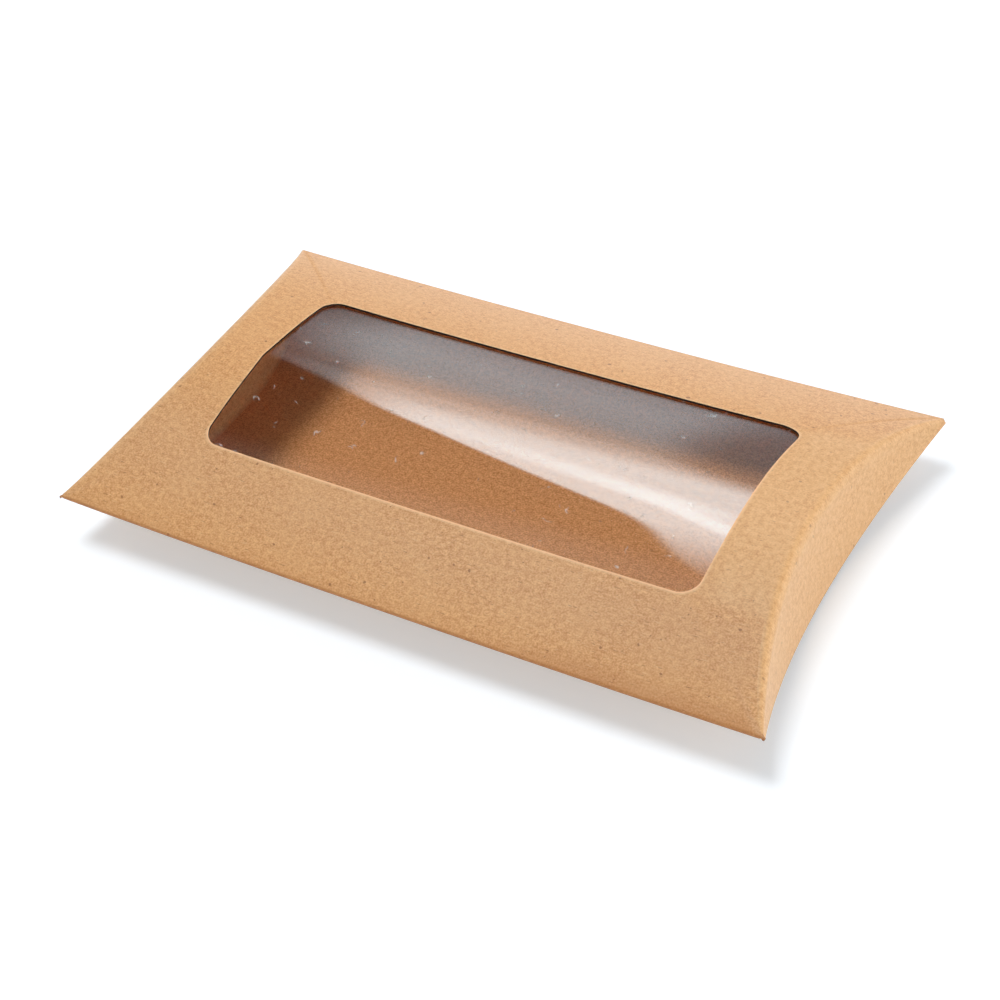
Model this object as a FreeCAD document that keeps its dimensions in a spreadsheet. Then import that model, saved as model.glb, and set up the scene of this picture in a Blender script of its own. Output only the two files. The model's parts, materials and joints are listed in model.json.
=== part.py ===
"""Pillow box of kraft board with a clear window, in millimetres.

X runs along the box, Y across it and Z up, with the origin on the resting surface under the middle.
The front and back panels arch away from each other between two straight side creases. Each end is
closed by two concave flaps that turn on arched creases: the outer one hangs from the front panel and
the inner one stands on the back panel. A clear film is glued behind the window.
"""
import FreeCAD, Part
import math
import os
import re
import Sketcher

SIZES = {
    # the closed box
    "box_length": 154.0,
    "box_width": 90.0,
    "panel_rise": 10.0,
    "end_inset": 9.3,
    "board": 0.45,
    "rest_width": 16.0,
    # the end flaps
    "crease_gap": 0.3,
    "foot_inset": 7.0,
    "foot_lift": 0.9,
    "flap_tip_gap": 0.6,
    "flap_clearance": 0.35,
    "inner_edge_drop": 0.5,
    "inner_shoulder": 5.0,
    # the window and its film
    "window_end_margin": 22.5,
    "window_side_margin": 20.5,
    "window_corner": 4.0,
    "film": 0.2,
    "film_overlap": 6.0,
    # the adhesive and the side tab
    "glue": 0.1,
    "glue_inset": 1.2,
    "film_glue_width": 3.5,
    "glue_break": 0.5,
    "tab_width": 12.0,
    "tab_setback": 8.0,
    "tab_slant": 6.0,
    "seam_glue_width": 6.0,
    "seam_glue_margin": 2.0,
    # how far a cutting outline runs past the board
    "cut_over": 2.0,
}

DERIVED = {
    "half_length": "box_length / 2",
    "half_width": "box_width / 2",
    # front arch: a circle through both side creases and the crown
    "arch_radius": "(half_width^2 + panel_rise^2) / (2 * panel_rise)",
    "arch_drop": "arch_radius - panel_rise",
    "front_inner_half": "sqrt((arch_radius - board)^2 - arch_drop^2)",
    # back arch: two arcs of one circle with a flat resting strip between them
    "rest_half": "rest_width / 2",
    "base_centre": "(half_width^2 - rest_half^2 + panel_rise^2) / (2 * panel_rise)",
    "base_radius": "sqrt(rest_half^2 + base_centre^2)",
    "base_inner_half": "sqrt((base_radius - board)^2 - (base_centre - panel_rise)^2)",
    "rest_inner_half": "sqrt((base_radius - board)^2 - (base_centre - board)^2)",
    # each end crease lies in a plane that leans in from the corners
    "crease_depth": "sqrt(end_inset^2 + panel_rise^2)",
    "crease_radius": "(half_width^2 + crease_depth^2) / (2 * crease_depth)",
    "crease_tilt": "atan(panel_rise / end_inset)",
    "inner_setback": "board + flap_clearance",
    "base_half_length": "half_length - inner_setback",
    # outer flap: a circular band that slants out towards its free edge
    "flap_sag": "(end_inset + foot_inset) / 2",
    "flap_radius": "(half_width^2 + flap_sag^2) / (2 * flap_sag)",
    "flap_slope": "(end_inset - foot_inset) / (2 * panel_rise)",
    "flap_centre": "half_length + flap_slope * panel_rise + flap_radius - flap_sag",
    "flap_half": "half_width - flap_tip_gap",
    # inner flap: an upright circular band
    "inner_radius": "(half_width^2 + end_inset^2) / (2 * end_inset)",
    "inner_centre": "base_half_length + inner_radius - end_inset",
    "inner_flap_width": "box_width - 2 * inner_shoulder",
    "inner_half": "inner_flap_width / 2",
    "inner_top": "panel_rise - inner_edge_drop",
    # layers behind the front panel, from its inner face down
    "lining_radius": "arch_radius - board",
    "glued_radius": "lining_radius - glue",
    "window_length": "box_length - 2 * window_end_margin",
    "window_width": "box_width - 2 * window_side_margin",
    "window_half_length": "window_length / 2",
    "window_half_width": "window_width / 2",
    "film_half_width": "window_half_width + film_overlap",
    "glue_line": "window_half_width + glue_inset",
    "glue_end": "window_half_length + glue_inset",
    "tab_edge": "half_width - tab_width",
    "tab_half": "half_length - tab_setback",
    "seam_start": "tab_edge + seam_glue_margin",
}

NAMES = set(SIZES) | set(DERIVED)


def bound(text, sheet="Dims."):
    """The expression with each size named as a cell of the sheet."""
    return re.sub(r"\b[a-z_]+\b", lambda word: sheet * (word.group() in NAMES) + word.group(), text)


def fill_sheet(doc):
    """Driving sizes as plain numbers and the worked-out ones as formulas, one aliased cell each."""
    sheet = doc.addObject("Spreadsheet::Sheet", "Dims")
    cells = {name: str(size) for name, size in SIZES.items()}
    cells.update({name: "=" + formula for name, formula in DERIVED.items()})
    for row, (name, content) in enumerate(cells.items(), start=1):
        sheet.set(f"A{row}", name)
        sheet.set(f"B{row}", content)
        sheet.setAlias(f"B{row}", name)
    doc.recompute()
    return sheet


def value(text):
    """What an expression comes to now."""
    return float(sheet.evalExpression(bound(text)))


def new_body(label, turn=0):
    """An empty body; turn is the angle about the box's upright axis at which it is placed."""
    body = doc.addObject("PartDesign::Body", label)
    body.Label = label
    body.Placement = FreeCAD.Placement(FreeCAD.Vector(), FreeCAD.Rotation(FreeCAD.Vector(0, 0, 1), turn))
    return body


def arc_between(start, end, radius, turn):
    """The short arc from start to end; turn is 1 for anticlockwise and -1 for clockwise."""
    chord = end - start
    rise = math.sqrt(radius**2 - chord.Length**2 / 4)
    left = FreeCAD.Vector(-chord.y, chord.x, 0).normalize()
    centre = (start + end) / 2 + left * rise * turn
    first, last = (start, end) if turn > 0 else (end, start)
    begin = math.atan2(first.y - centre.y, first.x - centre.x)
    finish = math.atan2(last.y - centre.y, last.x - centre.x)
    finish += 2 * math.pi * (finish < begin)
    circle = Part.Circle(centre, FreeCAD.Vector(0, 0, 1), radius)
    return Part.ArcOfCircle(circle, begin, finish)


def hold(sketch, kind, ends, text, name):
    """A dimension of the sketch, bound to the sheet."""
    index = sketch.addConstraint(Sketcher.Constraint(kind, *ends, abs(value(text))))
    sketch.renameConstraint(index, name)
    sketch.setExpression(f"Constraints.{name}", bound(text))


def hold_point(sketch, point, axis, text, name):
    """Fix one coordinate of a sketch point, measured from the sketch's origin."""
    origin = (-1, 1)
    distance = value(text)
    if abs(distance) < 1e-9:
        across = -2 if axis == "X" else -1
        sketch.addConstraint(Sketcher.Constraint("PointOnObject", *point, across))
    elif distance > 0:
        hold(sketch, "Distance" + axis, origin + point, text, name)
    else:
        hold(sketch, "Distance" + axis, point + origin, f"-({text})", name)


def outline(body, name, plane, corners, arcs=None, place=None):
    """A closed sketch through corners, given as pairs of expressions.

    arcs maps the number of a side to its radius and turn, and the other sides are straight. place
    binds the parts of the sketch's offset from the body's origin plane.
    """
    arcs = arcs or {}
    sketch = body.newObject("Sketcher::SketchObject", f"{body.Name}_{name}")
    origin_plane = next(item for item in body.Origin.OriginFeatures if item.Role == plane)
    sketch.AttachmentSupport = [(origin_plane, "")]
    sketch.MapMode = "FlatFace"
    if place:
        # a turn of any angle sets the axis, and its own expression then sets the angle
        about_y = FreeCAD.Rotation(FreeCAD.Vector(0, 1, 0), 1)
        sketch.AttachmentOffset = FreeCAD.Placement(FreeCAD.Vector(), about_y)
        for field, text in place.items():
            sketch.setExpression(f"AttachmentOffset.{field}", bound(text))
    points = [FreeCAD.Vector(value(u), value(v), 0) for u, v in corners]
    count = len(points)
    for side, start in enumerate(points):
        end = points[(side + 1) % count]
        if side in arcs:
            radius, turn = arcs[side]
            sketch.addGeometry(arc_between(start, end, value(radius), turn))
        else:
            sketch.addGeometry(Part.LineSegment(start, end))
    backward = {side for side, (radius, turn) in arcs.items() if turn < 0}
    starts = [(side, 2 if side in backward else 1) for side in range(count)]
    ends = [(side, 1 if side in backward else 2) for side in range(count)]
    for side in range(count):
        joined = ends[side] + starts[(side + 1) % count]
        sketch.addConstraint(Sketcher.Constraint("Coincident", *joined))
    for side, (radius, turn) in arcs.items():
        hold(sketch, "Radius", (side,), radius, f"radius_{side}")
    for side, (u, v) in enumerate(corners):
        hold_point(sketch, starts[side], "X", u, f"across_{side}")
        hold_point(sketch, starts[side], "Y", v, f"up_{side}")
    return sketch


def pad(body, sketch, length, both_ways=False, slope=None):
    """Raise the sketch by length; slope leans the pad along X by that much for each unit of height."""
    feature = body.newObject("PartDesign::Pad", sketch.Name + "_pad")
    feature.Profile = sketch
    feature.SideType = "Symmetric" if both_ways else "One side"
    feature.setExpression("Length", bound(length))
    if slope:
        feature.UseCustomVector = True
        feature.Direction = FreeCAD.Vector(value(slope), 0, 1)
        feature.AlongSketchNormal = True
        feature.setExpression("Direction.x", bound(slope))
    doc.recompute()
    return feature


def cut_through(body, sketch):
    """Cut the sketch right through the body, both ways, and make sure that it took something off."""
    before = body.Shape.Volume
    feature = body.newObject("PartDesign::Pocket", sketch.Name + "_cut")
    feature.Profile = sketch
    feature.Type = "ThroughAll"
    feature.SideType = "Symmetric"
    doc.recompute()
    if not feature.Shape.Volume < before:
        raise RuntimeError(f"{feature.Name} cuts nothing")
    return feature


def arch_height(radius, across):
    """Height of a circle that shares the front arch's centre, at a distance across the box."""
    return f"panel_rise - arch_drop + sqrt(({radius})^2 - ({across})^2)"


def arched_band(body, outer, inner, low, high):
    """Section across the box of a layer between two radii of the front arch, from y low to y high."""
    corners = [
        (high, arch_height(outer, high)),
        (low, arch_height(outer, low)),
        (low, arch_height(inner, low)),
        (high, arch_height(inner, high)),
    ]
    return outline(body, "section", "YZ_Plane", corners, {0: (outer, 1), 2: (inner, -1)})


def crease_place(reach, tilt):
    """A sketch plane through the line between two corners: its x axis points out along the crease plane."""
    return {"Base.x": reach, "Base.z": "panel_rise", "Rotation.Angle": tilt}


def crease_arc(body, name, start, past, place):
    """A lens or its surround in the crease plane: the arched crease, closed by straight sides at past."""
    corners = [
        (start, "-half_width"),
        (start, "half_width"),
        (past, "half_width"),
        (past, "-half_width"),
    ]
    return outline(body, name, "XY_Plane", corners, {0: ("crease_radius", -1)}, place)


def mitre_panel(body, half_length, tilts):
    """Cut both ends of a panel along their arched creases, square to the crease planes."""
    ends = {"right": half_length, "left": f"-{half_length}"}
    for (end, reach), tilt in zip(ends.items(), tilts):
        lens = crease_arc(body, f"{end}_crease", "0", "cut_over", crease_place(reach, tilt))
        cut_through(body, lens)


def front_panel():
    body = new_body("front_panel")
    corners = [
        ("half_width", "panel_rise"),
        ("-half_width", "panel_rise"),
        ("-front_inner_half", "panel_rise"),
        ("front_inner_half", "panel_rise"),
    ]
    arcs = {0: ("arch_radius", 1), 2: ("arch_radius - board", -1)}
    pad(body, outline(body, "section", "YZ_Plane", corners, arcs), "box_length", both_ways=True)
    mitre_panel(body, "half_length", ("crease_tilt", "180 deg - crease_tilt"))
    end, side = "window_half_length", "window_half_width"
    short_end, short_side = f"{end} - window_corner", f"{side} - window_corner"
    corners = [
        (end, f"-({short_side})"),
        (end, short_side),
        (short_end, side),
        (f"-({short_end})", side),
        (f"-{end}", short_side),
        (f"-{end}", f"-({short_side})"),
        (f"-({short_end})", f"-{side}"),
        (short_end, f"-{side}"),
    ]
    rounds = {number: ("window_corner", 1) for number in (1, 3, 5, 7)}
    cut_through(body, outline(body, "window", "XY_Plane", corners, rounds))
    return body


def back_panel():
    body = new_body("back_panel")
    corners = [
        ("half_width", "panel_rise"),
        ("base_inner_half", "panel_rise"),
        ("rest_inner_half", "board"),
        ("-rest_inner_half", "board"),
        ("-base_inner_half", "panel_rise"),
        ("-half_width", "panel_rise"),
        ("-rest_half", "0"),
        ("rest_half", "0"),
    ]
    outer, inner = "base_radius", "base_radius - board"
    arcs = {1: (inner, -1), 3: (inner, -1), 5: (outer, 1), 7: (outer, 1)}
    section = outline(body, "section", "YZ_Plane", corners, arcs)
    pad(body, section, "2 * base_half_length", both_ways=True)
    mitre_panel(body, "base_half_length", ("-crease_tilt", "180 deg + crease_tilt"))
    return body


def flap_band(body, centre, radius, half):
    """Plan section of a concave end flap: an arched strip of board, hollow side out."""
    outer_edge = f"{centre} - sqrt({radius}^2 - {half}^2)"
    inner_edge = f"{centre} - sqrt(({radius} + board)^2 - {half}^2)"
    corners = [
        (outer_edge, f"-{half}"),
        (outer_edge, half),
        (inner_edge, half),
        (inner_edge, f"-{half}"),
    ]
    arcs = {0: (radius, -1), 2: (f"{radius} + board", 1)}
    return outline(body, "section", "XY_Plane", corners, arcs)


def mitre_flap(body, reach, tilt):
    """Cut the flap back from its panel along the arched crease, less the crease gap."""
    surround = crease_arc(body, "crease", "crease_gap", "-2 * crease_depth", crease_place(reach, tilt))
    cut_through(body, surround)


def outer_flap(label, turn):
    body = new_body(label, turn)
    section = flap_band(body, "flap_centre", "flap_radius", "flap_half")
    pad(body, section, "2 * panel_rise", slope="-flap_slope")
    mitre_flap(body, "half_length", "crease_tilt")
    foot_drop = "panel_rise + cut_over"
    foot_run = f"foot_inset * ({foot_drop}) / (panel_rise - foot_lift)"
    outside = "half_length + flap_slope * panel_rise + cut_over"
    corners = [
        ("half_length", "panel_rise"),
        (f"half_length - {foot_run}", "-cut_over"),
        (outside, "-cut_over"),
        (outside, "panel_rise"),
    ]
    cut_through(body, outline(body, "free_edge", "XZ_Plane", corners))
    return body


def inner_flap(label, turn):
    body = new_body(label, turn)
    section = flap_band(body, "inner_centre", "inner_radius", "inner_half")
    pad(body, section, "inner_top")
    mitre_flap(body, "base_half_length", "-crease_tilt")
    return body


def glue_flap():
    body = new_body("glue_flap")
    outer, inner = "glued_radius", "glued_radius - board"
    corners = [
        (f"sqrt(({outer})^2 - arch_drop^2)", "panel_rise"),
        ("tab_edge", arch_height(outer, "tab_edge")),
        ("tab_edge", arch_height(inner, "tab_edge")),
        (f"sqrt(({inner})^2 - arch_drop^2)", "panel_rise"),
    ]
    section = outline(body, "section", "YZ_Plane", corners, {0: (outer, 1), 2: (inner, -1)})
    pad(body, section, "2 * tab_half", both_ways=True)
    slants = {"right": "", "left": "-"}
    for end, sign in slants.items():
        corners = [
            (f"{sign}(tab_half)", "half_width"),
            (f"{sign}(tab_half - 2 * tab_slant)", "half_width - 2 * tab_width"),
            (f"{sign}(tab_half + cut_over)", "half_width - 2 * tab_width"),
            (f"{sign}(tab_half + cut_over)", "half_width"),
        ]
        cut_through(body, outline(body, f"{end}_slant", "XY_Plane", corners))
    return body


def seam_glue():
    body = new_body("seam_glue")
    seam_end = "seam_start + seam_glue_width"
    section = arched_band(body, "lining_radius", "glued_radius", "seam_start", seam_end)
    pad(body, section, "2 * (tab_half - tab_slant)", both_ways=True)
    return body


def window_film():
    body = new_body("window_film")
    low, high = "-film_half_width", "film_half_width"
    section = arched_band(body, "glued_radius", "glued_radius - film", low, high)
    pad(body, section, "window_length + 2 * film_overlap", both_ways=True)
    return body


def long_film_glue(label, turn):
    body = new_body(label, turn)
    line_end = "glue_line + film_glue_width"
    section = arched_band(body, "lining_radius", "glued_radius", "glue_line", line_end)
    pad(body, section, "2 * (glue_end + film_glue_width)", both_ways=True)
    return body


def short_film_glue(label, turn):
    body = new_body(label, turn)
    half = "(glue_line - glue_break)"
    section = arched_band(body, "lining_radius", "glued_radius", f"-{half}", half)
    section.setExpression("AttachmentOffset.Base.z", bound("glue_end"))
    pad(body, section, "film_glue_width")
    return body


def check(doc, pieces):
    """Stop if any object failed to compute or a piece isn't one sound solid."""
    for item in doc.Objects:
        if "Invalid" in item.State or "Error" in item.State:
            raise RuntimeError(f"{item.Name} failed: {item.State}")
    for piece in pieces:
        shape = piece.Shape
        if shape.isNull() or not shape.isValid() or len(shape.Solids) != 1:
            raise RuntimeError(f"{piece.Label} isn't one valid solid")


doc = FreeCAD.newDocument("pillow_box")
sheet = fill_sheet(doc)
half_turn = 180
pieces = [
    front_panel(),
    back_panel(),
    outer_flap("right_outer_flap", 0),
    inner_flap("right_inner_flap", 0),
    outer_flap("left_outer_flap", half_turn),
    inner_flap("left_inner_flap", half_turn),
    glue_flap(),
    seam_glue(),
    window_film(),
    long_film_glue("film_glue_far", 0),
    long_film_glue("film_glue_near", half_turn),
    short_film_glue("film_glue_right", 0),
    short_film_glue("film_glue_left", half_turn),
]
doc.recompute()
check(doc, pieces)
os.makedirs("parts", exist_ok=True)
for piece in pieces:
    piece.Shape.exportStep(f"parts/{piece.Label}.step")
    box = piece.Shape.BoundBox
    print(
        f"{piece.Label}: {piece.Shape.Volume:.1f} mm3,"
        f" x {box.XMin:.2f} to {box.XMax:.2f}, y {box.YMin:.2f} to {box.YMax:.2f},"
        f" z {box.ZMin:.2f} to {box.ZMax:.2f}"
    )
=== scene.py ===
"""Looks of a kraft pillow box with a clear window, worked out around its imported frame.

Shapes are in millimetres: x along the box, y across it and z up, as in the frame. Each stretch of board
is a grid of points on its outer face, given a board's thickness inwards. A second pair of numbers says
where each point lies on the flat blank: u along the box and v across it, as lengths on the outer face.
"""
import json
import math
import bpy
import numpy as np
from mathutils import Matrix, Vector


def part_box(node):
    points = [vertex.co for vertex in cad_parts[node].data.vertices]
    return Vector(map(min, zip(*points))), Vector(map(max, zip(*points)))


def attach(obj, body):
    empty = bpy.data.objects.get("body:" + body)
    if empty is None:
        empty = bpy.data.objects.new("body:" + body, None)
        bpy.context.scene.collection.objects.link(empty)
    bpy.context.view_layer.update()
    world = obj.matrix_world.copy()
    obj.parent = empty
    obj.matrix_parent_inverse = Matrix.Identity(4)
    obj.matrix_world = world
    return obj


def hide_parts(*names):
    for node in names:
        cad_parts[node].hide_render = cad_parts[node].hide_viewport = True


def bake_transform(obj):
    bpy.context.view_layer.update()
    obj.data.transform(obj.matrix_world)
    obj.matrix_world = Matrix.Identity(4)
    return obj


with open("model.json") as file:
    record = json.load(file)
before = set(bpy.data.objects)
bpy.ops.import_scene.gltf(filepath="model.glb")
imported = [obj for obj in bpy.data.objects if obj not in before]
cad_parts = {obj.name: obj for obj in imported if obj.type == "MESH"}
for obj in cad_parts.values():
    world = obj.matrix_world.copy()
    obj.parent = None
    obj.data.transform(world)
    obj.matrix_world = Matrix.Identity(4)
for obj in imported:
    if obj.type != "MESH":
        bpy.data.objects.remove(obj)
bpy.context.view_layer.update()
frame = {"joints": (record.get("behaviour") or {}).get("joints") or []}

# Sizes that the frame gives

MM = 0.001
HINGE = {joint["name"]: [part / MM for part in joint["pos_m"]] for joint in frame["joints"]}
HALF_LENGTH, HALF_WIDTH, _ = [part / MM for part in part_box("front_panel")[1]]
FILM_X, FILM_Y, _ = [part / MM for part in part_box("window_film")[1]]
CROWN = HINGE["right_outer_fold"][2]
MID = CROWN / 2
END_INSET = HALF_LENGTH - HINGE["right_outer_fold"][0]
INNER_END = HINGE["right_inner_fold"][0] + END_INSET

# Sizes of the board, the film and their glue

BOARD = 0.45
EDGE_FOLD = 0.5
REST_DIP = 0.3
FILM = 0.2
FILM_OVERLAP = 6.0
GLUE = 0.05
WINDOW_X = FILM_X - FILM_OVERLAP
WINDOW_Y = FILM_Y - FILM_OVERLAP
WINDOW_CORNER = 4.0
WINDOW_SHIFT = -0.5

# Sizes of the end flaps

FOOT_INSET = 7.0
FOOT_LIFT = 0.9
FLAP_TIP_GAP = 0.6
INNER_TOP = 9.5
INNER_HALF = 40.0
CREASE_SETBACK = 2.6
CREASE_EASE = 4.0

# Arches of the front and back panels

FOLD_Y = HALF_WIDTH - EDGE_FOLD


def arch_radius(rise):
    """Radius of an arc that rises that far above the side folds and runs into them without a kink.

    The arc and the fold touch from inside, so their centres lie apart by the difference of the radii.
    """
    return (FOLD_Y**2 + rise**2 - EDGE_FOLD**2) / (2 * (rise - EDGE_FOLD))


def arched(v, rise):
    """Place across the box, and height above the side folds, at arc length v from the crown of an arch.

    It is an arc of the arch's radius up to the side fold, then the fold's small arc to the upright.
    """
    radius = arch_radius(rise)
    lean = math.asin(FOLD_Y / (radius - EDGE_FOLD))
    past = np.abs(v) / radius - lean
    tilt = np.where(past > 0, lean + past * radius / EDGE_FOLD, np.abs(v) / radius)
    y = np.where(past > 0, FOLD_Y + EDGE_FOLD * np.sin(tilt), radius * np.sin(tilt))
    height = np.where(past > 0, EDGE_FOLD * np.cos(tilt), rise - radius * (1 - np.cos(tilt)))
    return np.sign(v) * y, height


def arch_ends(rise):
    """Arc lengths from the crown to where the side fold begins and to where it stands upright."""
    radius = arch_radius(rise)
    lean = math.asin(FOLD_Y / (radius - EDGE_FOLD))
    return radius * lean, radius * lean + EDGE_FOLD * (math.pi / 2 - lean)


FRONT_RADIUS = arch_radius(MID)
FRONT_FOLD, FRONT_EDGE = arch_ends(MID)
WINDOW_V = FRONT_RADIUS * math.asin(WINDOW_Y / FRONT_RADIUS)

# The far fold sits lower than the near one by the glued layers that lie over it
LAYERS = BOARD + GLUE
FAR_FOLD = CROWN - FRONT_RADIUS + math.sqrt((FRONT_RADIUS - LAYERS - EDGE_FOLD) ** 2 - FOLD_Y**2)
NEAR_RISE = MID + REST_DIP
FAR_RISE = FAR_FOLD + REST_DIP

# The sleeve sags a little between its closed ends

SAG = 0.9
SAG_POWER = 2.5


def sag(share):
    """How far the side folds and the front panel hang down, at a share of the way from middle to end."""
    return SAG * (1 - np.clip(np.abs(share), 0, 1) ** SAG_POWER)


def front_face(u, v):
    """Points of the front panel's outer face: the arch, carried along the box, less its sag."""
    y, height = arched(v, MID)
    return np.stack(np.broadcast_arrays(u, y, MID + height - sag(u / front_end(v))), -1)


def back_section(v):
    """Place across and height of the back panel's outer face: two arcs, pressed flat where it rests.

    The near and far halves rise to their own side folds. The flat is a smooth larger-of with zero.
    """
    soften = 0.05
    near_y, near_height = arched(v, NEAR_RISE)
    far_y, far_height = arched(v, FAR_RISE)
    y = np.where(v < 0, near_y, far_y)
    z = np.where(v < 0, MID - near_height, FAR_FOLD - far_height)
    return y, (z + np.sqrt(z**2 + soften**2)) / 2


# The end flaps' lines, all in one upright plane for each place across the box

FLAP_SAG = (END_INSET + FOOT_INSET) / 2
FLAP_RADIUS = (HALF_WIDTH**2 + FLAP_SAG**2) / (2 * FLAP_SAG)
FLAP_SLOPE = (END_INSET - FOOT_INSET) / CROWN
FOOT_PITCH = (MID - FOOT_LIFT) / FOOT_INSET


def outer_crease(v):
    """Length along the box and height of the front panel's end crease, in its leaning plane."""
    y, height = arched(v, MID)
    return HALF_LENGTH - np.maximum(height, 0) * END_INSET / MID, MID + height


def outer_foot(v):
    """Length and height of the outer flap's free edge: its leaning round wall, cut by a sloping plane."""
    y, height = arched(v, MID)
    wall = HALF_LENGTH + FLAP_SLOPE * MID + FLAP_RADIUS - FLAP_SAG - np.sqrt(FLAP_RADIUS**2 - y**2)
    z = (MID - FOOT_PITCH * (HALF_LENGTH - wall)) / (1 + FOOT_PITCH * FLAP_SLOPE)
    return wall - FLAP_SLOPE * z, z


def inner_crease(v):
    """Length along the box and height of the back panel's end crease."""
    y, z = back_section(v)
    return INNER_END - np.maximum(MID - z, 0) * END_INSET / MID, z


def inner_foot(v):
    """Length and height of the inner flap's free edge: upright from the crease, with round shoulders."""
    shoulder = 7.0
    y, z = back_section(v)
    x, low = inner_crease(v)
    past = np.clip((np.abs(y) - INNER_HALF + shoulder) / shoulder, 0, 1)
    return x, low + (INNER_TOP - low) * np.sqrt(1 - 0.8 * past**2)


def setback(crease, foot):
    """How far before the crease its soft fold begins: less where the flap is short, near the corners."""
    height = np.hypot(foot[0] - crease[0], foot[1] - crease[1])
    return CREASE_SETBACK * height / (height + CREASE_EASE)


def front_end(v):
    """Length along the box at which the front panel's outer face runs into the soft end crease."""
    crease = outer_crease(v)
    return crease[0] - setback(crease, outer_foot(v))


def back_end(v):
    """Length along the box at which the back panel's outer face runs into its soft end crease."""
    crease = inner_crease(v)
    return crease[0] - setback(crease, inner_foot(v))


# Meshes

def eased(share):
    """Smooth step from 0 to 1."""
    share = np.clip(share, 0, 1)
    return share * share * (3 - 2 * share)


def grid_normals(points, ring):
    """Unit normals of a grid, from the cross product of its differences along columns and rows."""
    down = np.gradient(points, axis=0)
    along = np.roll(points, -1, 1) - np.roll(points, 1, 1) if ring else np.gradient(points, axis=1)
    normal = np.cross(down, along)
    return normal / np.linalg.norm(normal, axis=-1, keepdims=True)


def quads(index, ring):
    """Corner numbers of the grid's quads; a ring's last column joins its first."""
    after = np.roll(index, -1, 1) if ring else index[:, 1:]
    before = index if ring else index[:, :-1]
    corners = (before[:-1], after[:-1], after[1:], before[1:])
    return np.stack(corners, -1).reshape(-1, 4)


def rims(index, ring):
    """The grid's border as pairs of neighbouring corner numbers, in the direction of its quads."""
    if ring:
        loops = (index[0], index[-1, ::-1])
    else:
        loops = (np.concatenate((index[0], index[1:, -1], index[-1, -2::-1], index[-2:0:-1, 0])),)
    return np.concatenate([np.stack((loop, np.roll(loop, -1)), -1) for loop in loops])


OUTER_FACE, INNER_FACE, CUT_EDGE, WINDOW_EDGE = 0.0, 1.0, 2.0, 3.0
SHARP = math.radians(40)
# share of a painted sheen over the front panel's right end and over the end flaps
PAINTED_SHEEN = 0.58
BACK_V = 4 * HALF_WIDTH
TAB_V = 6 * HALF_WIDTH


def make_piece(name, points, blank, thickness, facing, ring=False, wear_and_painted_light=0.0):
    """A closed shell: the grid of outer points, the same grid pushed in along its normals, and rims.

    facing is a direction that the outer face's middle looks along. The blank coordinates become a UV
    map, the wear and painted light become a value of the points, real wear and painted sheen and
    highlight above zero and painted shade below it, and board_face tells outer, inner and cut faces
    apart. A ring's first loop of cut faces is the window's.
    """
    normals = grid_normals(points, ring)
    middle = tuple(size // 2 for size in points.shape[:2])
    inverted = normals[middle] @ np.array(facing) < 0
    normals = -normals if inverted else normals
    index = np.arange(points[..., 0].size).reshape(points.shape[:2])
    count = index.size
    outer = quads(index, ring)
    border = rims(index, ring)
    rim = np.stack((border[:, 1], border[:, 0], border[:, 0] + count, border[:, 1] + count), -1)
    faces = np.concatenate((outer, outer[:, ::-1] + count, rim))
    # the cross product of the steps down and along a grid looks against its quads' own turn
    faces = faces if inverted else faces[:, ::-1]
    kinds = np.repeat((OUTER_FACE, INNER_FACE, CUT_EDGE), (len(outer), len(outer), len(rim)))
    if ring:
        kinds[2 * len(outer):][:points.shape[1]] = WINDOW_EDGE
    both = np.concatenate((points.reshape(-1, 3), (points - normals * thickness).reshape(-1, 3)))
    mesh = bpy.data.meshes.new(name)
    mesh.from_pydata(both * MM, [], faces)
    mesh.polygons.foreach_set("use_smooth", np.ones(len(faces), bool))
    mesh.set_sharp_from_angle(angle=SHARP)
    corners = np.zeros(len(mesh.loops), int)
    mesh.loops.foreach_get("vertex_index", corners)
    flat = np.tile(blank.reshape(-1, 2), (2, 1))
    places = flat[corners].astype(np.float32).ravel()
    mesh.uv_layers.new(name="blank").uv.foreach_set("vector", places)
    kinds = kinds.astype(np.float32)
    mesh.attributes.new("board_face", "FLOAT", "FACE").data.foreach_set("value", kinds)
    wear_and_light_values = np.tile(np.broadcast_to(wear_and_painted_light, index.shape).ravel(), 2).astype(np.float32)
    mesh.attributes.new("wear_and_painted_light", "FLOAT", "POINT").data.foreach_set("value", wear_and_light_values)
    mesh.validate()
    piece = bpy.data.objects.new(name, mesh)
    bpy.context.scene.collection.objects.link(piece)
    return piece


def window_side(inner_half, outer_reach, count):
    """One side of the window and of the panel round it, from corner to corner.

    Returns lengths along the side and how far in from the side the round corners lie, for the window,
    and shares of the side, from -1 to 1, for the panel's outline. Each end takes half of a corner's
    arc, and the window's straight part faces the outline as far as outer_reach.
    """
    arc_count = 10
    turn = np.linspace(math.pi / 4, 0, arc_count, endpoint=False)
    run = np.linspace(-1, 1, count, endpoint=False)
    straight = inner_half - WINDOW_CORNER
    before = -straight - WINDOW_CORNER * np.sin(turn)
    dip = WINDOW_CORNER * (1 - np.cos(turn))
    inner = np.concatenate((before, run * straight, -before[::-1]))
    depth = np.concatenate((dip, np.zeros(count), dip[::-1]))
    outer_before = np.linspace(-1, -outer_reach, arc_count, endpoint=False)
    outer = np.concatenate((outer_before, run * outer_reach, -outer_before[::-1]))
    return inner, depth, outer


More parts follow.
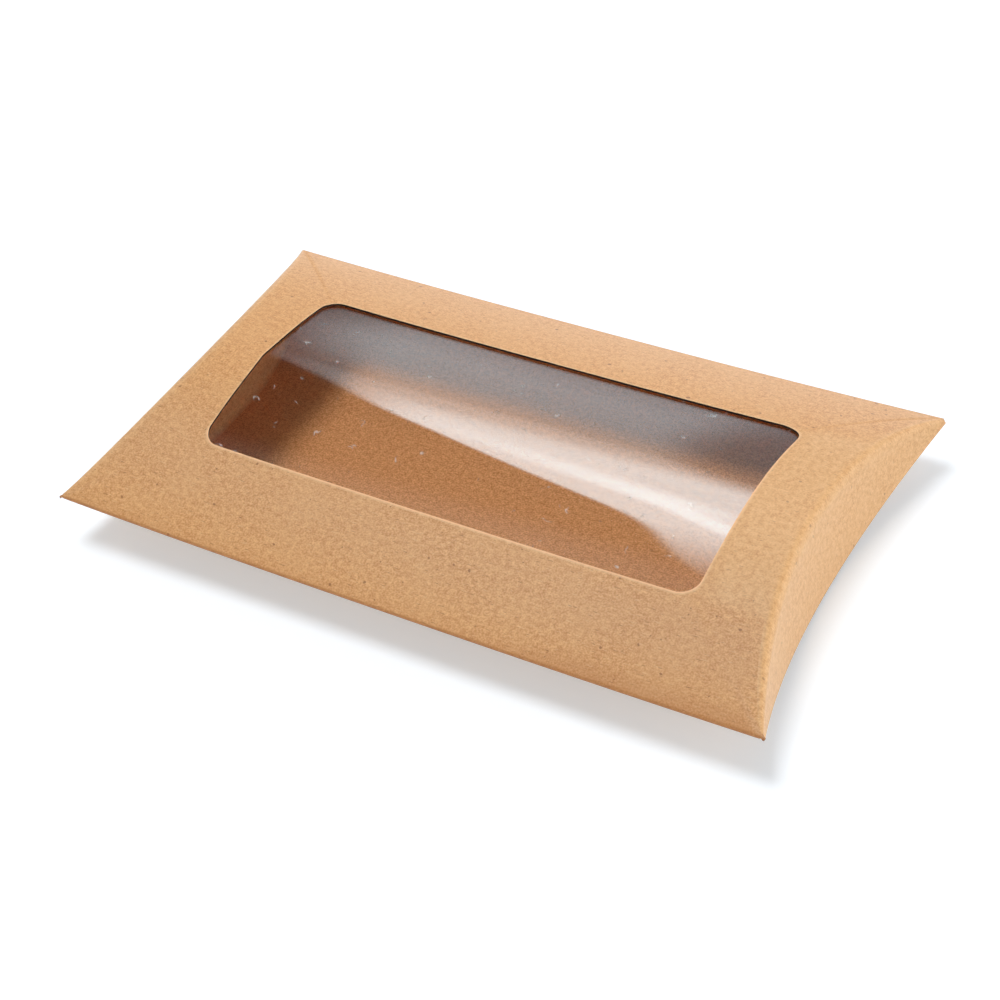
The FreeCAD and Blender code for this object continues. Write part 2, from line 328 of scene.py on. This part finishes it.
def window_kink(loop):
    """How far the window's ends leave a straight line: the left in a point, the right in a corner.

    At the left end, a square of the distance from the crown less a falling exponential of it. At the
    right end, a square of that distance too, but only on the far side.
    """
    out, width, drawn_in, drawn_out = 0.8, 7.0, 0.35, 1.3
    distance = np.abs(loop[:, 1])
    kink = drawn_in * (distance / WINDOW_V) ** 2 - out * np.exp(-distance / width)
    corner = drawn_out * np.maximum(loop[:, 1] / WINDOW_V, 0) ** 2
    at_left, at_right = [eased((end * loop[:, 0] - WINDOW_X) / WINDOW_CORNER + 1) for end in (-1, 1)]
    return kink * at_left + corner * at_right


def panel_wear_and_painted_light(flat, window):
    """How the front panel is worn, or painted with sheen, highlight and shade, at each place on its
    blank:
    above zero paler, below darker.

    Paler where worn at the end creases, with a painted sheen over the right end and a painted highlight
    along the window's rim, strongest on its near side; darker with painted shade on the near fold, the
    stretch before it and the near right corner.
    """
    crease_reach, shade_reach = 2.5, 5.0
    u, v = flat[..., 0], flat[..., 1]
    crease = eased(1 - (front_end(v) - np.abs(u)) / crease_reach)
    # painted sheen over the right end
    right_end_sheen = eased(2 - (front_end(v) - u) / 8.0) * eased((WINDOW_V + 4.0 - np.abs(v)) / 6.0)
    near_side = eased((5.0 - WINDOW_V - v) / 4.0)
    # painted highlight along the window's rim, strongest on its near side
    rim = eased(1 - np.linalg.norm(flat - window, axis=-1) / (0.8 + 0.1 * near_side))
    rim = rim * (1.15 + 0.55 * near_side)
    # painted shade on the near fold, the stretch before it and the near right corner
    near_fold = eased((-v - FRONT_FOLD + 0.3) / 0.8)
    near_shade = eased((-v - FRONT_FOLD + shade_reach) / shade_reach)
    near_right = eased((-v - WINDOW_V) / 4.0) * eased((u - 15.0) / 30.0)
    paler = 0.25 * crease * (1 - right_end_sheen) + PAINTED_SHEEN * right_end_sheen + rim
    return paler - 0.6 * near_fold - 0.25 * near_shade - 0.2 * near_right


def panel_with_window():
    """The front panel: lines drawn from the rounded window out to the panel's edges, on the front face.

    Window and outline are closed loops on the blank with as many points each. The lines between them
    are straight on the blank, with more points near both ends.
    """
    short_count, long_count, row_count = 44, 96, 46
    end_inner, end_dip, end_outer = window_side(WINDOW_V, 0.66, short_count)
    side_inner, side_dip, side_outer = window_side(WINDOW_X, 0.76, long_count)
    low, high = -FRONT_EDGE, FRONT_FOLD
    end_v = np.where(end_outer < 0, -low * end_outer, high * end_outer)
    inner_loop = np.concatenate((
        np.stack((WINDOW_X - end_dip, end_inner), -1),
        np.stack((-side_inner, WINDOW_V - side_dip), -1),
        np.stack((-WINDOW_X + end_dip, -end_inner), -1),
        np.stack((side_inner, -WINDOW_V + side_dip), -1),
    )) + np.array((0, WINDOW_SHIFT))
    inner_loop[:, 0] += window_kink(inner_loop)
    left_v = end_v[::-1]
    outer_loop = np.concatenate((
        np.stack((front_end(end_v), end_v), -1),
        np.stack((-side_outer * front_end(high), np.full_like(side_outer, high)), -1),
        np.stack((-front_end(left_v), left_v), -1),
        np.stack((side_outer * front_end(low), np.full_like(side_outer, low)), -1),
    ))
    share = np.linspace(0, 1, row_count)
    share = (1 - np.cos(share * math.pi)) / 2
    flat = inner_loop + (outer_loop - inner_loop) * share[:, None, None]
    points = front_face(flat[..., 0], flat[..., 1])
    wear_and_painted_light = panel_wear_and_painted_light(flat, inner_loop)
    return make_piece("window_panel", points, flat, BOARD, (0, 0, 1), ring=True, wear_and_painted_light=wear_and_painted_light)


def panel_behind():
    """The back panel: its section across the box, carried along it as far as the soft end creases."""
    along_count, across_count, fold_count = 120, 110, 10
    near_start, near_end = arch_ends(NEAR_RISE)
    far_start, far_end = arch_ends(FAR_RISE)
    v = np.concatenate((
        np.linspace(-near_end, -near_start, fold_count, endpoint=False),
        np.linspace(-near_start, far_start, across_count, endpoint=False),
        np.linspace(far_start, far_end, fold_count),
    ))
    share = np.linspace(-1, 1, along_count)[:, None]
    u = share * back_end(v)
    y, z = back_section(v)
    points = np.stack(np.broadcast_arrays(u, y, z * (1 - sag(share) / MID)), -1)
    blank = np.stack(np.broadcast_arrays(u, v + BACK_V), -1)
    # painted shade: darker on the back panel's side folds
    wear_and_painted_light = -0.8 * eased((np.abs(y) - FOLD_Y) / EDGE_FOLD)
    return make_piece("base_panel", points, blank, BOARD, (0, 0, -1), wear_and_painted_light=wear_and_painted_light)


FLAP_SPAN = HALF_WIDTH - FLAP_TIP_GAP


def fold_curve(turn, count):
    """A soft fold through turn radians, seen from the side, scaled so that each tangent is one long.

    Its heading eases from one side's to the other's, and the points are the running sum of the steps.
    Returns the points and the share of the turn made at each.
    """
    made = eased(np.linspace(0, 1, count))
    step = np.stack((np.cos(turn * made), np.sin(turn * made)), -1)
    points = np.concatenate((np.zeros((1, 2)), np.cumsum((step[1:] + step[:-1]) / 2, 0)))
    return points * 2 * math.cos(turn / 2) / np.linalg.norm(points[-1]), made


def hang_flap(name, side, rising, v, places, blank_v, crease, foot, hinge):
    """An end flap with its soft crease: at each place across the box a fold, then a straight line.

    side is 1 for the right end and -1 for the left; rising is 1 for a flap that stands up from the
    back panel and -1 for one that hangs from the front panel. Returns the piece and, for its points,
    the share of the hinge's turn that each takes: the angle about the hinge between the crease's plane
    and the point, over the same angle at the flap's middle, so that the crease itself stays put.
    """
    fold_count, wall_count = 18, 30
    back = setback(crease, foot)
    middle = len(v) // 2
    lean = np.arctan2(np.abs(foot[1] - crease[1])[middle], (foot[0] - crease[0])[middle])
    bend, made = fold_curve(lean, fold_count)
    fold_x = crease[0] - back + back * bend[:, :1]
    fold_z = crease[1] + rising * back * bend[:, 1:]
    down = np.linspace(0, 1, wall_count + 1)[1:, None]
    x = np.concatenate((fold_x, fold_x[-1] + (foot[0] - fold_x[-1]) * down))
    z = np.concatenate((fold_z, fold_z[-1] + (foot[1] - fold_z[-1]) * down))
    points = np.stack(np.broadcast_arrays(side * x, places, z), -1)
    steps = np.hypot(np.diff(x, axis=0), np.diff(z, axis=0))
    run = np.concatenate((np.zeros((1, len(v))), np.cumsum(steps, 0)))
    u = side * (crease[0] - back + run)
    blank = np.stack(np.broadcast_arrays(u, blank_v), -1)
    bent = np.concatenate((made, np.ones(wall_count)))[:, None]
    past = (run - run[fold_count - 1]) / 3.0
    # painted sheen over the whole flap, with a touch of wear along its crease
    wear_and_painted_light = PAINTED_SHEEN + 0.04 * eased(2.5 * bent) * eased(1 - past)
    polar = rising * np.arctan2(z - hinge[2], x - abs(hinge[0]))
    start = math.atan2(MID, END_INSET)
    whole = (lean if rising < 0 else math.pi / 2) - start
    turned = np.clip((polar - start) / whole, 0, 1)
    turned[:fold_count] = turned[fold_count] * made[:, None]
    piece = make_piece(name, points, blank, BOARD, (side, 0, 0), wear_and_painted_light=wear_and_painted_light)
    return piece, np.tile(turned.ravel(), 2)


def outer_flap(name, side):
    """The flap that closes an end, hung from the front panel."""
    v = np.linspace(-1, 1, 140) * FRONT_RADIUS * math.asin(FLAP_SPAN / FRONT_RADIUS)
    y, _ = arched(v, MID)
    hinge = HINGE["right_outer_fold"]
    return hang_flap(name, side, -1, v, y, v, outer_crease(v), outer_foot(v), hinge)


def inner_flap(name, side):
    """The flap behind it, stood up from the back panel."""
    radius = arch_radius(NEAR_RISE)
    v = np.linspace(-1, 1, 120) * radius * math.asin(INNER_HALF / radius)
    y, _ = back_section(v)
    hinge = HINGE["right_inner_fold"]
    return hang_flap(name, side, 1, v, y, v + BACK_V, inner_crease(v), inner_foot(v), hinge)


def follow(piece, joint):
    """Bake a flap's placement into its mesh. The hinge is looked up but the flap is not bent, and its
    own shares of the turn, which a curved crease needs, go unused.
    """
    hinge = [part * MM for part in HINGE[joint]]
    MID * MM
    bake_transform(piece)


def front_layer(name, u, v, depth, thickness):
    """A thin layer that follows the front panel's outer face at a depth below it."""
    depth = np.broadcast_to(depth, np.broadcast_shapes(u.shape, v.shape))
    face = front_face(u, v)
    normals = grid_normals(face, False)
    normals = normals * np.sign(normals[..., 2:])
    blank = np.stack(np.broadcast_arrays(u, v), -1)
    return make_piece(name, face - normals * depth[..., None], blank, thickness, (0, 0, 1))


def film_depth(u, v):
    """Depth of the film below the front face: under board and glue, with a faint ripple in the window.

    The ripple is a product of sines that fades out towards the glue lines.
    """
    ripple, fade, glue_inset = 0.012, 14.0, 1.2
    inside_x = eased((WINDOW_X + glue_inset - np.abs(u)) / fade)
    inside_v = eased((WINDOW_V + glue_inset - np.abs(v)) / fade)
    waves = ripple * np.sin(u / 9.0 + 0.6 * np.sin(v / 7.0)) * np.sin(v / 11.0 + 1.3)
    return LAYERS + waves * inside_x * inside_v


def clear_pane():
    """The clear film behind the window."""
    u = np.linspace(-FILM_X, FILM_X, 200)[:, None]
    v = np.linspace(-1, 1, 110)[None, :] * FRONT_RADIUS * math.asin(FILM_Y / FRONT_RADIUS)
    return front_layer("window_pane", u, v, film_depth(u, v), FILM)


def glue_strip(name, node, counts):
    """Glue on the front panel's inner face, over the same ground, seen from above, as a node's box."""
    low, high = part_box(node)
    u = np.linspace(low.x / MM, high.x / MM, counts[0])[:, None]
    y = np.linspace(low.y / MM, high.y / MM, counts[1])[None, :]
    return front_layer(name, u, FRONT_RADIUS * np.arcsin(y / FRONT_RADIUS), BOARD, GLUE)


def seam_tab():
    """The tab inside the far edge: the far side fold's upper half, then an arc under the front panel.

    Measured from the upright of the fold, it turns by the fold's small radius and then follows the
    arch at the depth of the layers over it. The fold runs on to the box's corners, and from there the
    ends are cut back on a slant.
    """
    low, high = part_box("glue_flap")
    radius = FRONT_RADIUS - LAYERS
    lean = math.asin(FOLD_Y / (radius - EDGE_FOLD))
    fold = np.linspace(math.pi / 2, lean, 12, endpoint=False)
    arc = np.linspace(lean, math.asin(low.y / MM / radius), 24)
    y = np.concatenate((FOLD_Y + EDGE_FOLD * np.sin(fold), radius * np.sin(arc)))
    arc_z = CROWN - FRONT_RADIUS + radius * np.cos(arc)
    z = np.concatenate((FAR_FOLD + EDGE_FOLD * np.cos(fold), arc_z))
    run = np.concatenate(([0], np.cumsum(np.hypot(np.diff(y), np.diff(z)))))
    slant, corner, corner_run = 0.75, 7.8, 3.0
    end = high.x / MM + corner * (1 - eased(run / corner_run)) - slant * np.maximum(run - 1.0, 0)
    u = np.linspace(-1, 1, 90)[:, None] * end
    points = np.stack(np.broadcast_arrays(u, y, z - sag(u / HALF_LENGTH)), -1)
    blank = np.stack(np.broadcast_arrays(u, run + TAB_V), -1)
    return make_piece("seam_tab", points, blank, BOARD, (0, 0, 1))


# Materials

class Value:
    """A socket in a node tree; arithmetic on it, and on plain numbers, adds Math nodes to the tree."""

    def __init__(self, tree, socket=None):
        self.tree = tree
        self.socket = socket

    def node(self, kind, settings=None, inputs=None, output=0):
        """Add a node of a kind, with its settings, and its inputs as values, links or plain numbers."""
        node = self.tree.nodes.new(kind)
        for name, setting in (settings or {}).items():
            setattr(node, name, setting)
        for name, given in (inputs or {}).items():
            if isinstance(given, Value):
                self.tree.links.new(given.socket, node.inputs[name])
            else:
                node.inputs[name].default_value = given
        return Value(self.tree, node.outputs[output])

    def math(self, operation, *numbers):
        return self.node("ShaderNodeMath", {"operation": operation}, dict(enumerate(numbers)))

    def __add__(self, other):
        return self.math("ADD", self, other)

    def __radd__(self, other):
        return self.math("ADD", other, self)

    def __sub__(self, other):
        return self.math("SUBTRACT", self, other)

    def __rsub__(self, other):
        return self.math("SUBTRACT", other, self)

    def __mul__(self, other):
        return self.math("MULTIPLY", self, other)

    def __rmul__(self, other):
        return self.math("MULTIPLY", other, self)

    def __pow__(self, other):
        return self.math("POWER", self, other)

    def __neg__(self):
        return self.math("MULTIPLY", self, -1.0)

    def __abs__(self):
        return self.math("ABSOLUTE", self)

    def ease(self, low, high):
        """Smooth step of this value from 0 at low to 1 at high; low may lie above high."""
        start, end = (low, high) if low < high else (high, low)
        inputs = {"Value": self, "From Min": start, "From Max": end}
        step = self.node("ShaderNodeMapRange", {"interpolation_type": "SMOOTHSTEP"}, inputs)
        return step if low < high else 1 - step

    def blend(self, first, second):
        """Colour that goes from the first at 0 to the second at 1 of this value."""
        inputs = {0: self, 6: first, 7: second}
        return self.node("ShaderNodeMix", {"data_type": "RGBA"}, inputs, output=2)

    def noise(self, scale, detail=2.0, offset=(0, 0, 0), stretch=(1, 1, 1), turn=0.0):
        """Noise over this vector, after a turn about z and a stretch."""
        place = {"Vector": self, "Location": offset, "Rotation": (0, 0, turn), "Scale": stretch}
        moved = self.node("ShaderNodeMapping", {}, place)
        inputs = {"Vector": moved, "Scale": scale, "Detail": detail, "Roughness": 0.5}
        return self.node("ShaderNodeTexNoise", {}, inputs)


def start_material(name):
    """A new material with an empty tree: the material, a value to start from, and its output."""
    material = bpy.data.materials.new(name)
    material.use_nodes = True
    tree = material.node_tree
    tree.nodes.clear()
    output = tree.nodes.new("ShaderNodeOutputMaterial")
    return material, Value(tree), output


LIGHT_KRAFT = (0.785, 0.455, 0.203, 1)
DARK_KRAFT = (0.475, 0.198, 0.056, 1)
PALE_KRAFT = (0.690, 0.390, 0.170, 1)
# pale fibres and wear, also the colour of the painted sheen
WORN_AND_SHEEN_KRAFT = (0.800, 0.560, 0.310, 1)
# colour of the painted highlight along the window's rim
RIM_HIGHLIGHT_KRAFT = (0.900, 0.540, 0.275, 1)
FLECK_KRAFT = (0.300, 0.125, 0.045, 1)
LIGHT_INSIDE = (0.890, 0.425, 0.172, 1)
DARK_INSIDE = (0.530, 0.205, 0.062, 1)
# colour of the painted shade on the folds and the near side
FOLD_SHADE_KRAFT = (0.360, 0.130, 0.045, 1)
CUT_KRAFT = (0.360, 0.180, 0.075, 1)
SHADED_KRAFT = (0.028, 0.016, 0.011, 1)


def kraft_board():
    """Unbleached kraft board: speckled brown with fibres and specks, paler where worn, brown on its cut
    edges, with painted sheen, highlight and shade, and the window's cut edge painted near black as shade.

    Everything but the wear, the painted light and shade, and the cut edges lies on the blank, in
    millimetres, so that it runs on round the folds. The inside is redder and rougher.
    """
    fibre = {"scale": 1.0, "detail": 1.0, "stretch": (0.5, 4.0, 1)}
    material, base, output = start_material("kraft_board")
    blank = base.node("ShaderNodeUVMap", {"uv_map": "blank"})
    face = base.node("ShaderNodeAttribute", {"attribute_name": "board_face"}, output=2)
    wear_and_painted_light = base.node("ShaderNodeAttribute", {"attribute_name": "wear_and_painted_light"}, output=2)
    mottle = blank.noise(0.10, 3.0)
    grain = blank.noise(2.6)
    coarse = blank.noise(0.9, offset=(5, 60, 0))
    speckle = 0.6 * grain.ease(0.27, 0.73) + 0.4 * coarse.ease(0.25, 0.75)
    shade = speckle.blend(DARK_KRAFT, LIGHT_KRAFT)
    shade = (0.3 * mottle.ease(0.35, 0.7)).blend(shade, PALE_KRAFT)
    light_fibre = blank.noise(turn=0.5, **fibre).ease(0.62, 0.74)
    dark_fibre = blank.noise(turn=-0.6, offset=(9, 50, 0), **fibre).ease(0.70, 0.76)
    cross_fibre = blank.noise(turn=1.2, offset=(70, 20, 0), **fibre).ease(0.70, 0.76)
    shade = (light_fibre * 0.35).blend(shade, WORN_AND_SHEEN_KRAFT)
    shade = (dark_fibre * 0.75).blend(shade, FLECK_KRAFT)
    shade = (cross_fibre * 0.75).blend(shade, FLECK_KRAFT)
    speck = blank.noise(0.8, 0.0, offset=(33, 8, 0)).ease(0.80, 0.84)
    shade = (speck * 0.85).blend(shade, FLECK_KRAFT)
    inside = face.ease(0.4, 0.6) - face.ease(1.4, 1.6)
    cut = face.ease(1.4, 1.6)
    rough = 0.65 * grain.ease(0.36, 0.64) + 0.35 * coarse.ease(0.3, 0.7)
    shade = inside.blend(shade, rough.blend(DARK_INSIDE, LIGHT_INSIDE))
    broken = 0.65 + 0.35 * coarse.ease(0.35, 0.65)
    # paler: wear at the end creases, painted sheen over the right end and the end flaps, and part of the
    # painted rim highlight
    shade = (wear_and_painted_light.ease(0.05, 1.0) * broken * 0.5).blend(shade, WORN_AND_SHEEN_KRAFT)
    # painted highlight along the window's rim
    shade = (wear_and_painted_light.ease(0.9, 1.6) * 0.8).blend(shade, RIM_HIGHLIGHT_KRAFT)
    # painted shade on the side folds, the stretch before the near fold and the near right corner
    shade = (wear_and_painted_light.ease(-0.05, -0.8) * broken * 0.7).blend(shade, FOLD_SHADE_KRAFT)
    shade = cut.blend(shade, CUT_KRAFT)
    # painted shade: the window's cut edge near black, for the shadowed gap between board and film
    shade = face.ease(2.4, 2.6).blend(shade, SHADED_KRAFT)
    bump = {"Strength": 0.15, "Distance": 0.03 * MM, "Height": grain + light_fibre * 0.4}
    inputs = {
        "Base Color": shade,
        "Roughness": 0.30 + 0.12 * grain + 0.45 * inside,
        "Specular IOR Level": 0.24,
        "Normal": base.node("ShaderNodeBump", {}, bump),
    }
    surface = base.node("ShaderNodeBsdfPrincipled", {}, inputs)
    base.tree.links.new(surface.socket, output.inputs["Surface"])
    return material


def clear_film():
    """Thin clear film: seen through, with a mirror share that grows towards grazing, and a little lint.

    The share is a power law of the facing angle, alike on both sides of the film.
    """
    straight_on = 0.05
    material, base, output = start_material("clear_film")
    blank = base.node("ShaderNodeUVMap", {"uv_map": "blank"})
    facing = base.node("ShaderNodeLayerWeight", {}, {"Blend": 0.5}, output=1)
    share = straight_on + (1 - straight_on) * facing**5
    haze = blank.noise(0.06)
    gloss = {"Color": (0.74, 0.93, 1.0, 1), "Roughness": 0.015 + 0.02 * haze}
    mirror = base.node("ShaderNodeBsdfAnisotropic", {}, gloss)
    through = base.node("ShaderNodeBsdfTransparent", {}, {"Color": (0.97, 0.975, 0.98, 1)})
    film = base.node("ShaderNodeMixShader", {}, {0: share, 1: through, 2: mirror})
    curl = abs(blank.noise(0.30, 1.0) - 0.5).ease(0.014, 0.006)
    lint = curl * blank.noise(0.30, 1.0, offset=(80, 30, 0)).ease(0.64, 0.68)
    dust = base.node("ShaderNodeBsdfDiffuse", {}, {"Color": (0.85, 0.84, 0.82, 1)})
    surface = base.node("ShaderNodeMixShader", {}, {0: lint * 0.2, 1: film, 2: dust})
    base.tree.links.new(surface.socket, output.inputs["Surface"])
    return material


def set_glue():
    """Dried glue: whitish and half clear, thicker and thinner in patches."""
    material, base, output = start_material("set_glue")
    blank = base.node("ShaderNodeUVMap", {"uv_map": "blank"})
    patch = blank.noise(0.4)
    inputs = {
        "Base Color": patch.blend((0.62, 0.56, 0.45, 1), (0.80, 0.77, 0.70, 1)),
        "Roughness": 0.3 + 0.25 * patch,
        "Alpha": 0.55 + 0.35 * patch,
    }
    surface = base.node("ShaderNodeBsdfPrincipled", {}, inputs)
    base.tree.links.new(surface.socket, output.inputs["Surface"])
    return material


# Putting the pieces on the frame

board = kraft_board()
film = clear_film()
glue = set_glue()


def place(piece, node, material, slot, body="carton"):
    """Dress a piece, let it stand in for a node of the frame and ride that node's body."""
    piece.data.materials.append(material)
    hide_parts(node)
    if body:
        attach(piece, body)


place(panel_with_window(), "front_panel", board, "kraft_board")
place(panel_behind(), "back_panel", board, "kraft_board")
place(seam_tab(), "glue_flap", board, "kraft_board")
place(clear_pane(), "window_film", film, "clear_film")
place(glue_strip("seam_glue_line", "seam_glue", (90, 10)), "seam_glue", glue, "adhesive")
for edge, counts in (("near", (160, 8)), ("far", (160, 8)), ("left", (8, 80)), ("right", (8, 80))):
    node = "film_glue_" + edge
    place(glue_strip("pane_glue_" + edge, node, counts), node, glue, "adhesive")
for end, side in (("right", 1), ("left", -1)):
    flap, turned = outer_flap(end + "_closing_flap", side)
    place(flap, end + "_outer_flap", board, "kraft_board", body=None)
    follow(flap, end + "_outer_fold")
    flap, turned = inner_flap(end + "_tuck_flap", side)
    place(flap, end + "_inner_flap", board, "kraft_board", body=None)
    follow(flap, end + "_inner_fold")

# The studio: a dome of light, a white floor and the camera

DEGREES = 180 / math.pi
TOP_LAMP = (-0.33, 0.12, 0.936)
TOP_LAMP_CORE, TOP_LAMP_RIM = math.cos(math.radians(9)), math.cos(math.radians(16))


def big_lamp(bearing, height):
    """Strength of the big soft lamp behind the box, by direction.

    Its left edge is crisp and bends out again higher up, its lower edge is soft, and it fades upwards.
    A brighter streak slants across it and then stands upright.
    """
    left_edge = 39.7 - height.ease(44, 39) - 1.6 * height.ease(43, 52) + 11.5 * height.ease(52, 66)
    lowered = height - 2.2 * bearing.ease(36.5, 39.5) - 1.5 * bearing.ease(28, 23)
    across = (bearing - left_edge).ease(0.5, -0.5) * bearing.ease(-15, 5)
    shape = across * height.ease(64, 52) * lowered.ease(35.5, 42.5)
    off_streak = abs(bearing - height.math("MAXIMUM", 80 - height, 33.0))
    streak = (off_streak * (1 + 1.3 * height.ease(47, 50))).ease(5, 0) * height.ease(41, 49)
    return shape * (4.9 + 2.8 * streak)


def room_light(bearing, height, glossy):
    """Brightness of the room, by direction: a pale wall up to a dim ceiling.

    The wall has a brighter slanting stretch behind the box, a bright foot there and a bright window low
    on the right. The ceiling is dimmest over the left end.
    """
    right = abs(bearing + 90).ease(80, 40) * height.ease(24, 10)
    front = abs(bearing).ease(80, 120)
    left = abs(bearing - 62).ease(30, 22)
    slant = bearing - 0.35 * (height - 25)
    hump = abs(height - 28).ease(12, 2)
    behind = slant.ease(21.0, 23.5) * slant.ease(33.4, 30.6) * (0.6 + 0.75 * hump)
    behind = behind - 0.2 * slant.ease(31.0, 33.4)
    horizon = height.ease(16, 6) * abs(bearing - 15).ease(60, 35)
    wall = 0.6 + 0.15 * glossy + behind * (1 - front) + 1.3 * horizon + 3.4 * right
    ceiling = 0.2 - 0.17 * left
    return wall + (ceiling - wall) * height.ease(37.0, 39.5)


def studio_dome():
    """A white room as a function of direction: walls, a big lamp behind and a small lamp overhead.

    Bearing counts in degrees from straight behind the box towards its left end, and height from the
    horizon. In gloss the big lamp shows stronger than it lights, and the top lamp weaker.
    """
    world = bpy.data.worlds.new("studio")
    world.use_nodes = True
    tree = world.node_tree
    tree.nodes.clear()
    base = Value(tree)
    direction = base.node("ShaderNodeTexCoord")
    parts = [base.node("ShaderNodeSeparateXYZ", {}, {0: direction}, output=axis) for axis in range(3)]
    bearing = base.math("ARCTAN2", -parts[0], parts[1]) * DEGREES
    height = base.math("ARCSINE", parts[2]) * DEGREES
    glossy = base.node("ShaderNodeLightPath", output="Is Glossy Ray")
    facing = {0: direction, 1: TOP_LAMP}
    above = base.node("ShaderNodeVectorMath", {"operation": "DOT_PRODUCT"}, facing, output="Value")
    top = above.ease(TOP_LAMP_RIM, TOP_LAMP_CORE) * (11.6 - 11.3 * glossy)
    lamp = big_lamp(bearing, height) * (0.25 + 0.75 * glossy)
    light = room_light(bearing, height, glossy) + top + lamp
    background = base.node("ShaderNodeBackground", {}, {"Color": (1, 1, 1, 1), "Strength": light})
    output = tree.nodes.new("ShaderNodeOutputWorld")
    tree.links.new(background.socket, output.inputs["Surface"])
    bpy.context.scene.world = world


def white_floor():
    """A broad matt floor that keeps the box's shadow; its light part reads as plain white.

    What the eye and the mirrors see of it is lifted a little. From below it can be seen through.
    """
    lift = 0.36
    half = 4.0
    level = -0.00002
    mesh = bpy.data.meshes.new("floor")
    corners = [(half * x, half * y, level) for x, y in ((-1, -1), (1, -1), (1, 1), (-1, 1))]
    mesh.from_pydata(corners, [], [(0, 1, 2, 3)])
    floor = bpy.data.objects.new("floor", mesh)
    bpy.context.scene.collection.objects.link(floor)
    material, base, output = start_material("floor_white")
    rays = ("Is Camera Ray", "Is Glossy Ray", "Is Transmission Ray")
    camera, glossy, through = [base.node("ShaderNodeLightPath", output=ray) for ray in rays]
    seen = camera + glossy + through
    matt = base.node("ShaderNodeBsdfDiffuse", {}, {"Color": (0.715, 0.77, 0.825, 1)})
    glow = base.node("ShaderNodeEmission", {}, {"Strength": seen * lift})
    both = base.node("ShaderNodeAddShader", {}, {0: matt, 1: glow})
    below = base.node("ShaderNodeNewGeometry", output="Backfacing")
    clear = base.node("ShaderNodeBsdfTransparent")
    surface = base.node("ShaderNodeMixShader", {}, {0: below, 1: both, 2: clear})
    base.tree.links.new(surface.socket, output.inputs["Surface"])
    mesh.materials.append(material)


def photo_camera():
    """The photograph's camera: its place, the point it looks at and its roll."""
    place_mm = Vector((166.61, -248.48, 274.85))
    aim_mm = Vector((6.03, -10.47, 10.0))
    roll = math.radians(-7.35)
    camera = bpy.data.cameras.new("photo_camera")
    camera.sensor_width = 36.0
    camera.lens = 71.99
    camera.clip_start = 0.01
    holder = bpy.data.objects.new("photo_camera", camera)
    bpy.context.scene.collection.objects.link(holder)
    turn = (aim_mm - place_mm).to_track_quat("-Z", "Y").to_matrix().to_4x4()
    holder.matrix_world = Matrix.Translation(place_mm * MM) @ turn @ Matrix.Rotation(roll, 4, "Z")
    bpy.context.scene.camera = holder


studio_dome()
white_floor()
photo_camera()
bpy.context.scene.view_settings.view_transform = "Standard"
